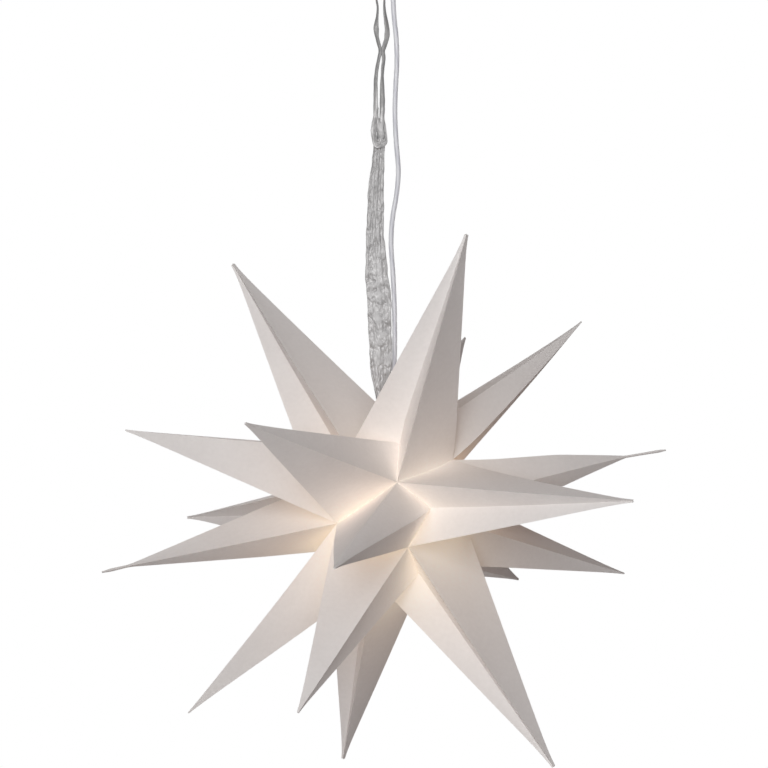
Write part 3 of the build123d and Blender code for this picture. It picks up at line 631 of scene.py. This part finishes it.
# Height, half width, half thickness and turn (degrees, nought across the view) of the
# ribbon's two gathered strands: drawn tight below the hook, loose again above the knot.
LEFT_STRAND = np.array([
    (-192.0, 3.0, 1.4, 10), (-172.0, 2.9, 1.2, 10), (-153.7, 2.3, 1.1, 15),
    (-137.0, 2.1, 1.0, 20), (-118.3, 2.0, 1.0, 30), (-112.4, 2.0, 1.0, 20),
    (-99.6, 2.2, 0.8, 30), (-90.8, 2.9, 0.7, 0), (-79.0, 2.2, 0.9, 55),
    (-66.2, 1.9, 1.0, 80), (-50.0, 2.0, 1.0, 90),
])
RIGHT_STRAND = np.array([
    (-192.0, 2.8, 1.4, 0), (-172.0, 2.8, 1.2, 0), (-162.5, 2.9, 1.1, 0),
    (-150.7, 2.6, 1.0, 10), (-137.0, 2.0, 1.0, 40), (-118.3, 2.1, 1.0, 20),
    (-106.5, 2.5, 0.9, 10), (-95.7, 2.8, 0.8, 0), (-86.9, 2.5, 0.9, 15),
    (-79.0, 2.2, 1.0, 30), (-66.2, 2.0, 1.0, 70), (-50.0, 2.0, 1.0, 90),
])


STRAND_COLUMNS = 120
ROLL_START = 0.9                  # where round the strand the ribbon's outer edge lies
ROLL_ANGLE = 4 * math.pi - 0.3    # nearly two turns
INNER_REACH = 0.46                # the inside turn, over the ellipse of the half widths
INNER_FOLDS = 0.29


def gathered_strand(name, line, shape, seed, rough, tight):
    """Ribbon rolled lengthwise into a string, nearly two turns of it. Its surface goes
    round the line as an ellipse of the two half widths: the outer turn close to it, with
    low lengthwise folds, and the turn inside at INNER_REACH + INNER_FOLDS cos 7 a of it."""
    _, first, second = line_frame(line, np.array([0.0, 1.0, 0.0]))
    distance = along(line)
    angle = np.linspace(0.0, ROLL_ANGLE, STRAND_COLUMNS) + ROLL_START
    down, around = np.meshgrid(distance, angle, indexing="ij")
    turned = around - ROLL_START
    wide, thick, turn = shape.T
    twist = down / 24.0 + 0.7 * np.sin(down / 13.0 + seed)
    creases = crumple(around * 1.8, down, seed, 6.0, 17.0, 6)
    outer = 0.95 - 0.07 * turned / (2 * np.pi) + 0.05 * np.cos(3 * around + twist)
    outer = outer + 0.06 * rough * creases
    inner = INNER_REACH + INNER_FOLDS * np.cos(7 * around - twist)
    inside = np.clip((turned - 1.85 * np.pi) / (0.35 * np.pi), 0, 1)
    inside = inside * inside * (3 - 2 * inside)
    reach = np.clip(outer, 0.8, 1.0) * (1 - inside) + inner * inside
    turn = np.radians(turn)[:, None]
    side = wide[:, None] * np.cos(around) * reach
    front = thick[:, None] * np.sin(around) * reach
    across = side * np.cos(turn) - front * np.sin(turn)
    out = side * np.sin(turn) + front * np.cos(turn)
    surface = (
        line[:, None]
        + across[..., None] * second[:, None]
        + out[..., None] * first[:, None]
    )
    piece = thin_cloth(name, surface)
    give_values(piece, "over", np.tile((turned * 2.0).ravel(), 2) * MM)
    # Painted shade: darker where the outer turn dips in, on the turn inside, and where the
    # strand is drawn tight; the high values also place the painted glints.
    fold_shade_and_glint = np.clip(3.2 * (reach - 0.78), 0, 1) * (1 - tight[:, None])
    give_values(piece, "fold_shade_and_glint", np.tile(fold_shade_and_glint.ravel(), 2))
    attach(piece, "hanger")
    return piece


# Height where a strand begins to be drawn tight, over what length, and how far. These only set
# painted shade: the tighter, the darker the strand.
RIGHT_TIGHT = (-176.0, 10.0, 0.9)
LEFT_TIGHT = (-170.0, 22.0, 1.0)


def tightness(height, start, length, most):
    return np.clip((height - start) / length, 0, most)


loop_line = even_line(smooth_line("loop_line", LOOP_ROUTE), 360)
on_right = np.arange(len(loop_line)) > np.argmax(loop_line[:, 2])
loop_shape = np.stack([
    np.where(
        on_right,
        np.interp(loop_line[:, 2], RIGHT_STRAND[:, 0], RIGHT_STRAND[:, k]),
        np.interp(loop_line[:, 2], LEFT_STRAND[:, 0], LEFT_STRAND[:, k]),
    )
    for k in (1, 2, 3)
], axis=-1)
tight_strand_shade = np.where(
    on_right,
    tightness(loop_line[:, 2], *RIGHT_TIGHT),
    tightness(loop_line[:, 2], *LEFT_TIGHT),
)
ribbon_loop = gathered_strand(
    "ribbon_over_hook", loop_line, loop_shape, 3, 0.8, tight_strand_shade
)
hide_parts("ribbon_loop")

# Overhand knot: the ribbon comes down broad on the left, turns under to the point on the
# right, goes up behind, and comes down through its own bight in the middle.
KNOT_ROUTE = (
    (-3.4, -0.4, -168.0),
    (-4.6, -1.4, -176.0),
    (-6.6, -2.2, -187.0),
    (-6.2, -2.4, -197.0),
    (-4.4, -2.6, -206.5),
    (1.0, -3.0, -206.0),
    (6.2, -1.4, -202.0),
    (4.4, 1.4, -194.0),
    (2.4, 2.8, -184.0),
    (1.2, 1.0, -178.5),
    (0.4, -0.9, -184.0),
    (0.5, -1.3, -193.5),
    (0.4, 0.6, -203.5),
    (-0.8, 0.4, -214.0),
)
# Distance along the knot, half width, half thickness and turn.
KNOT_SHAPE = np.array([
    (0, 2.2, 0.9, 0), (10, 2.5, 1.1, 0), (22, 3.0, 1.5, 8), (32, 3.1, 1.6, 10),
    (42, 2.8, 1.5, 20), (50, 2.6, 1.4, 0), (57, 1.6, 1.2, 0), (66, 2.6, 1.2, 0),
    (76, 3.0, 1.1, 0), (84, 3.4, 1.0, 0), (96, 4.4, 1.1, 0), (106, 3.8, 1.2, 0),
    (118, 3.8, 1.2, 0),
], float)
# The bight that the end comes through: where along the knot, half its length as a share of
# the knot's, and how tight it is drawn, which only sets how much painted shade the bight takes.
BIGHT_AT = 0.80
BIGHT_HALF = 0.12
BIGHT_TIGHT = 0.8
knot_line = even_line(smooth_line("knot_line", KNOT_ROUTE), 260)
knot_share = along(knot_line) / along(knot_line)[-1]
knot_shape = np.stack([
    np.interp(knot_share, KNOT_SHAPE[:, 0] / KNOT_SHAPE[-1, 0], KNOT_SHAPE[:, k])
    for k in (1, 2, 3)
], axis=-1)
bight_shade = np.clip(1 - np.abs(knot_share - BIGHT_AT) / BIGHT_HALF, 0, 1) * BIGHT_TIGHT
ribbon_knot = gathered_strand(
    "ribbon_knot_wrap", knot_line, knot_shape, 12, 1.4, bight_shade
)
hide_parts("ribbon_knot")


# ---------------------------------------------------------------- finishes
class Finish:
    """A node material for one finish of the object."""

    def __init__(self, name, colour, roughness, **sockets):
        self.material = bpy.data.materials.new(name)
        self.material.use_nodes = True
        self.nodes = self.material.node_tree.nodes
        self.links = self.material.node_tree.links
        self.shader = self.nodes["Principled BSDF"]
        self.shader.inputs["Base Color"].default_value = (*colour, 1.0)
        self.shader.inputs["Roughness"].default_value = roughness
        for socket, value in sockets.items():
            self.shader.inputs[socket.replace("_", " ")].default_value = value
        self.places = self.nodes.new("ShaderNodeTexCoord").outputs["Object"]

    def link(self, output, target):
        self.links.new(output, target)

    def noise(self, scale, detail=3.0, vector=None, rough=0.5):
        node = self.nodes.new("ShaderNodeTexNoise")
        node.inputs["Scale"].default_value = scale
        node.inputs["Detail"].default_value = detail
        node.inputs["Roughness"].default_value = rough
        self.link(vector or self.places, node.inputs["Vector"])
        return node.outputs["Fac"]

    def ramp(self, value, stops):
        node = self.nodes.new("ShaderNodeValToRGB")
        elements = node.color_ramp.elements
        while len(elements) < len(stops):
            elements.new(0.5)
        for element, (place, colour) in zip(elements, stops):
            element.position = place
            element.color = (*colour, 1.0) if hasattr(colour, "__len__") else (
                colour, colour, colour, 1.0
            )
        self.link(value, node.inputs["Fac"])
        return node.outputs["Color"]

    def math(self, operation, first, second=None, third=None):
        node = self.nodes.new("ShaderNodeMath")
        node.operation = operation
        for socket, value in zip(node.inputs, (first, second, third)):
            if value is None:
                continue
            if isinstance(value, (int, float)):
                socket.default_value = value
            else:
                self.link(value, socket)
        return node.outputs["Value"]

    def mix(self, factor, first, second, blend="MIX"):
        node = self.nodes.new("ShaderNodeMix")
        node.data_type = "RGBA"
        node.blend_type = blend
        sockets = [node.inputs[0], node.inputs[6], node.inputs[7]]
        for socket, value in zip(sockets, (factor, first, second)):
            if isinstance(value, (int, float)):
                socket.default_value = value
            elif isinstance(value, tuple):
                socket.default_value = (*value, 1.0)
            else:
                self.link(value, socket)
        return node.outputs[2]

    def read(self, name):
        node = self.nodes.new("ShaderNodeAttribute")
        node.attribute_name = name
        return node.outputs["Fac"]

    def bump(self, height, strength, distance):
        node = self.nodes.new("ShaderNodeBump")
        node.inputs["Strength"].default_value = strength
        node.inputs["Distance"].default_value = distance
        self.link(height, node.inputs["Height"])
        self.link(node.outputs["Normal"], self.shader.inputs["Normal"])

    def colour(self, output):
        self.link(output, self.shader.inputs["Base Color"])

    def roughness(self, output):
        self.link(output, self.shader.inputs["Roughness"])


def put_on(finish, *pieces):
    """The finish on each piece, which is an object or the name of a node of the frame."""
    for piece in pieces:
        if not hasattr(piece, "data"):
            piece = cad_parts[piece]
        piece.data.materials.clear()
        piece.data.materials.append(finish.material)


globe_low, globe_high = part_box("lamp_globe")

# White card: faint fibre mottling, a painted highlight that lightens a thin line along each
# crease, and a painted glow, emission that stands in for the lamp's light coming through. With n
# the nearness, GLOW_REACH / distance from the globe's middle, each colour is a share of n and a
# share of n^2. Red has the greatest share of n, so the glow is warmer further out.
GLOW_REACH = 0.080
GLOW_NEAREST = 1.08
GLOW_SHARES = (("Red", 0.089, 0.118), ("Green", 0.008, 0.137), ("Blue", 0.0, 0.092))
CREASE_HIGHLIGHT_REACH = 1300.0               # 1 over the painted highlight line's half width in m
CREASE_HIGHLIGHT_SHARE = 0.12
paper = Finish("white_card", (0.86, 0.85, 0.84), 0.72, Specular_IOR_Level=0.25)
blotches = paper.ramp(
    paper.noise(14.0, 4.0), [(0.30, (0.845, 0.835, 0.825)), (0.70, (0.885, 0.877, 0.868))]
)
fibres = paper.ramp(paper.noise(260.0, 2.0), [(0.3, 0.965), (0.7, 1.0)])
tone = paper.mix(1.0, blotches, fibres, "MULTIPLY")
# Painted highlight: the card's colour lightened along each crease, fading out within the line's
# half width.
crease_highlight = paper.math("SUBTRACT", 1.0, paper.math("MULTIPLY", paper.read("crease"), CREASE_HIGHLIGHT_REACH))
crease_highlight = paper.math("MULTIPLY", paper.math("MAXIMUM", crease_highlight, 0.0), CREASE_HIGHLIGHT_SHARE)
paper.colour(paper.mix(crease_highlight, tone, (0.95, 0.945, 0.94)))
paper.bump(paper.noise(190.0, 2.0), 0.10, 0.0006)
# Painted glow: emission that falls off with distance from the globe, in place of the lamp's
# light passing through the card.
from_globe = paper.nodes.new("ShaderNodeVectorMath")
from_globe.operation = "DISTANCE"
paper.link(paper.places, from_globe.inputs[0])
from_globe.inputs[1].default_value = tuple((globe_low + globe_high) / 2)
nearness = paper.math("DIVIDE", GLOW_REACH, from_globe.outputs["Value"])
nearness = paper.math("MINIMUM", nearness, GLOW_NEAREST)
glow = paper.nodes.new("ShaderNodeCombineColor")
for channel, wide, close in GLOW_SHARES:
    slope = paper.math("MULTIPLY_ADD", nearness, close, wide)
    paper.link(paper.math("MULTIPLY", nearness, slope), glow.inputs[channel])
paper.link(glow.outputs["Color"], paper.shader.inputs["Emission Color"])
paper.shader.inputs["Emission Strength"].default_value = 1.0
paper.material.cycles.emission_sampling = "NONE"
put_on(paper, *leaves)

# Crushed metallic satin: soft silver, with painted shade darkening the folds, painted glints as
# bright specks where the creases turn up, and fine threads across it.
satin = Finish("crushed_silver_satin", (0.58, 0.57, 0.57), 0.5, Metallic=0.2)
patches = satin.ramp(
    satin.noise(95.0, 3.0, rough=0.55), [(0.35, (0.50, 0.49, 0.49)), (0.65, (0.62, 0.61, 0.61))]
)
# Painted shade: darker where the ribbon folds inwards or is drawn tight.
painted_fold_shade = satin.ramp(satin.read("fold_shade_and_glint"), [(0.0, 0.44), (0.14, 0.78), (0.5, 0.95), (0.9, 1.05)])
threads = satin.nodes.new("ShaderNodeTexWave")
threads.wave_type = "BANDS"
threads.inputs["Scale"].default_value = 1.0
place_on = satin.nodes.new("ShaderNodeCombineXYZ")
satin.link(satin.math("MULTIPLY", satin.read("over"), 900.0), place_on.inputs["X"])
satin.link(place_on.outputs["Vector"], threads.inputs["Vector"])
thread_tone = satin.ramp(threads.outputs["Fac"], [(0.0, 0.96), (1.0, 1.0)])
toned = satin.mix(1.0, satin.mix(1.0, patches, painted_fold_shade, "MULTIPLY"), thread_tone, "MULTIPLY")
# Painted glints: bright specks on the creases that turn up.
painted_glints = satin.ramp(satin.noise(300.0, 2.0), [(0.60, 0.0), (0.72, 0.32)])
painted_glints = satin.math("MULTIPLY", painted_glints, satin.ramp(satin.read("fold_shade_and_glint"), [(0.1, 0.0), (0.4, 1.0)]))
satin.colour(satin.mix(painted_glints, toned, (0.78, 0.77, 0.77)))
satin.roughness(satin.ramp(satin.noise(380.0, 3.0), [(0.3, 0.34), (0.7, 0.58)]))
satin.bump(satin.noise(240.0, 2.0), 0.14, 0.0006)
put_on(satin, ribbon_front, ribbon_rear, ribbon_loop, ribbon_knot)

# Clear flexible cable: milky sheath over two pale cores that turn slowly round each other.
sheath = Finish("clear_cable_sheath", (0.74, 0.74, 0.80), 0.30, Specular_IOR_Level=0.45)
turn_round = sheath.math(
    "ADD", sheath.read("round"), sheath.math("MULTIPLY", sheath.read("run"), 95.0)
)
cores = sheath.math("ABSOLUTE", sheath.math("SINE", turn_round))
sheath.colour(sheath.ramp(cores, [(0.15, (0.73, 0.73, 0.79)), (0.85, (0.86, 0.86, 0.90))]))
sheath.bump(sheath.noise(300.0, 2.0), 0.05, 0.0005)
put_on(sheath, cable_piece)


def moulded(name, colour, roughness=0.42):
    """Moulded plastic: fine spark-eroded grain, slightly uneven gloss."""
    finish = Finish(name, colour, roughness)
    dim = tuple(0.93 * part for part in colour)
    finish.colour(finish.ramp(finish.noise(55.0), [(0.3, dim), (0.7, colour)]))
    finish.roughness(finish.ramp(
        finish.noise(240.0), [(0.3, roughness - 0.07), (0.7, roughness + 0.08)]
    ))
    finish.bump(finish.noise(1600.0, 2.0), 0.12, 0.0003)
    return finish


def plated(name, colour, roughness=0.25):
    """Plated metal: rolling marks round the object's axis and faint dulled patches."""
    finish = Finish(name, colour, roughness, Metallic=1.0)
    dull = tuple(0.8 * part for part in colour)
    finish.colour(finish.ramp(finish.noise(90.0, 5.0), [(0.3, dull), (0.65, colour)]))
    stretched = finish.nodes.new("ShaderNodeMapping")
    stretched.inputs["Scale"].default_value = (1.0, 1.0, 14.0)
    finish.link(finish.places, stretched.inputs["Vector"])
    marks = finish.noise(160.0, 4.0, vector=stretched.outputs["Vector"])
    finish.roughness(finish.ramp(marks, [(0.3, roughness - 0.08), (0.7, roughness + 0.14)]))
    finish.bump(marks, 0.08, 0.0003)
    return finish


white_plastic = moulded("white_thermoset", (0.80, 0.80, 0.78), 0.34)
put_on(white_plastic, "cable_bush", "cord_grip", "holder_cap", "holder_body")
put_on(moulded("heat_proof_insert", (0.62, 0.58, 0.50), 0.55), "contact_insert")
put_on(moulded("terminal_plastic", (0.74, 0.76, 0.76), 0.22), "terminal_block")
put_on(moulded("lamp_housing", (0.82, 0.82, 0.82), 0.36), "lamp_collar")
put_on(moulded("black_glass", (0.012, 0.012, 0.014), 0.12), "lamp_insulator")
put_on(plated("zinc_plate", (0.60, 0.61, 0.62), 0.34), "ceiling_bar", "hook_nut", "clamp_nut")
put_on(plated("bright_hook_steel", (0.72, 0.72, 0.73), 0.2), "ceiling_hook")
put_on(
    plated("brass", (0.72, 0.55, 0.28), 0.3), "terminal_screws", "insert_screws",
    "centre_contact",
)
put_on(plated("nickel", (0.66, 0.64, 0.60), 0.22), "screw_shell", "lamp_cap")
put_on(plated("solder", (0.55, 0.55, 0.56), 0.4), "foot_contact")

enamel = Finish("white_enamel", (0.84, 0.84, 0.83), 0.28, Coat_Weight=0.35, Coat_Roughness=0.12)
enamel.colour(enamel.ramp(
    enamel.noise(30.0), [(0.3, (0.81, 0.81, 0.80)), (0.7, (0.86, 0.86, 0.85))]
))
enamel.bump(enamel.noise(420.0, 3.0), 0.06, 0.0004)
put_on(enamel, "ceiling_cup")

# Opal globe of the lit lamp: warm, and a little brighter towards its crown.
opal = Finish("lit_opal_globe", (0.90, 0.86, 0.78), 0.3)
split = opal.nodes.new("ShaderNodeSeparateXYZ")
opal.link(opal.places, split.inputs["Vector"])
level = opal.nodes.new("ShaderNodeMapRange")
level.inputs["From Min"].default_value = globe_high.z
level.inputs["From Max"].default_value = globe_low.z
opal.link(split.outputs["Z"], level.inputs["Value"])
opal.link(
    opal.ramp(level.outputs["Result"], [(0.0, (0.75, 0.50, 0.28)), (0.6, (1.0, 0.78, 0.52))]),
    opal.shader.inputs["Emission Color"],
)
opal.shader.inputs["Emission Strength"].default_value = 3.0
opal.material.cycles.emission_sampling = "NONE"
opal.bump(opal.noise(500.0, 2.0), 0.03, 0.0003)
put_on(opal, "lamp_globe")

# ---------------------------------------------------------------- floor and lamps
FLOOR_HEIGHT = -2000.0
FLOOR_HALF = 6000.0
BOUNCE_DROP = 5.0                 # the unseen floor under the one that is seen


def floor_plane(name, height, own_light):
    """Flat square of pale floor, with the light that it gives off itself."""
    corners = np.array([(-1, -1), (1, -1), (1, 1), (-1, 1)]) * FLOOR_HALF
    points = np.concatenate([corners, np.full((4, 1), height)], axis=1)
    mesh = bpy.data.meshes.new(name)
    mesh.from_pydata((points * MM).tolist(), [], [[0, 1, 2, 3]])
    plane = bpy.data.objects.new(name, mesh)
    scene.collection.objects.link(plane)
    finish = Finish(name, (0.88, 0.88, 0.88), 0.9, Specular_IOR_Level=0.1)
    finish.colour(finish.ramp(finish.noise(3.0), [(0.3, 0.87), (0.7, 0.89)]))
    finish.shader.inputs["Emission Color"].default_value = (1.0, 1.0, 1.0, 1.0)
    finish.shader.inputs["Emission Strength"].default_value = own_light
    finish.material.cycles.emission_sampling = "NONE"
    put_on(finish, plane)
    return plane


# The floor that is seen, and under it the one that throws the lamps' light back at the star.
floor = floor_plane("pale_floor", FLOOR_HEIGHT, 0.66)
floor.visible_diffuse = False
floor.visible_glossy = False
floor.visible_shadow = False
floor_bounce = floor_plane("floor_bounce", FLOOR_HEIGHT - BOUNCE_DROP, 0.0)
floor_bounce.visible_camera = False

STAR_PLACE = STAR_CENTRE * MM
LAMP_DISTANCE = 2.4
LAMP_SIZE = 1.2


def soft_lamp(name, bearing, rise, level):
    """Square soft light, facing the star. Level is the brightness it gives a white card
    turned to it: power = level pi^2 distance^2."""
    bearing, rise = math.radians(bearing), math.radians(rise)
    way = np.array([
        math.sin(bearing) * math.cos(rise), -math.cos(bearing) * math.cos(rise), math.sin(rise)
    ])
    data = bpy.data.lights.new(name, "AREA")
    data.shape = "SQUARE"
    data.size = LAMP_SIZE
    data.energy = level * math.pi ** 2 * LAMP_DISTANCE ** 2
    lamp = bpy.data.objects.new(name, data)
    lamp.location = tuple(STAR_PLACE + way * LAMP_DISTANCE)
    lamp.rotation_euler = (math.pi / 2 - rise, 0, bearing)
    lamp.visible_camera = False
    scene.collection.objects.link(lamp)


soft_lamp("front_left_key", 345, 15, 0.358)
soft_lamp("front_panel", 0, 0, 0.181)
soft_lamp("front_top", 0, 25, 0.071)
soft_lamp("left_side", 270, 0, 0.041)
soft_lamp("left_side_top", 270, 45, 0.054)
soft_lamp("right_top", 30, 50, 0.067)
soft_lamp("rear_panel", 180, 15, 0.24)

# The room is white where it is seen, in a reflection too, and nearly dark as a light.
ROOM_LIGHT = 0.02
world = bpy.data.worlds.new("pale_room")
world.use_nodes = True
scene.world = world
room = world.node_tree
room_light = room.nodes["Background"]
room_light.inputs["Color"].default_value = (1.0, 1.0, 1.0, 1.0)
rays = room.nodes.new("ShaderNodeLightPath")
seen = room.nodes.new("ShaderNodeMath")
seen.operation = "MAXIMUM"
room.links.new(rays.outputs["Is Camera Ray"], seen.inputs[0])
room.links.new(rays.outputs["Is Glossy Ray"], seen.inputs[1])
seen_through = room.nodes.new("ShaderNodeMath")
seen_through.operation = "MAXIMUM"
room.links.new(seen.outputs["Value"], seen_through.inputs[0])
room.links.new(rays.outputs["Is Transmission Ray"], seen_through.inputs[1])
strength = room.nodes.new("ShaderNodeMapRange")
strength.inputs["To Min"].default_value = ROOM_LIGHT
strength.inputs["To Max"].default_value = 1.0
room.links.new(seen_through.outputs["Value"], strength.inputs["Value"])
room.links.new(strength.outputs["Result"], room_light.inputs["Strength"])

scene.view_settings.view_transform = "Standard"
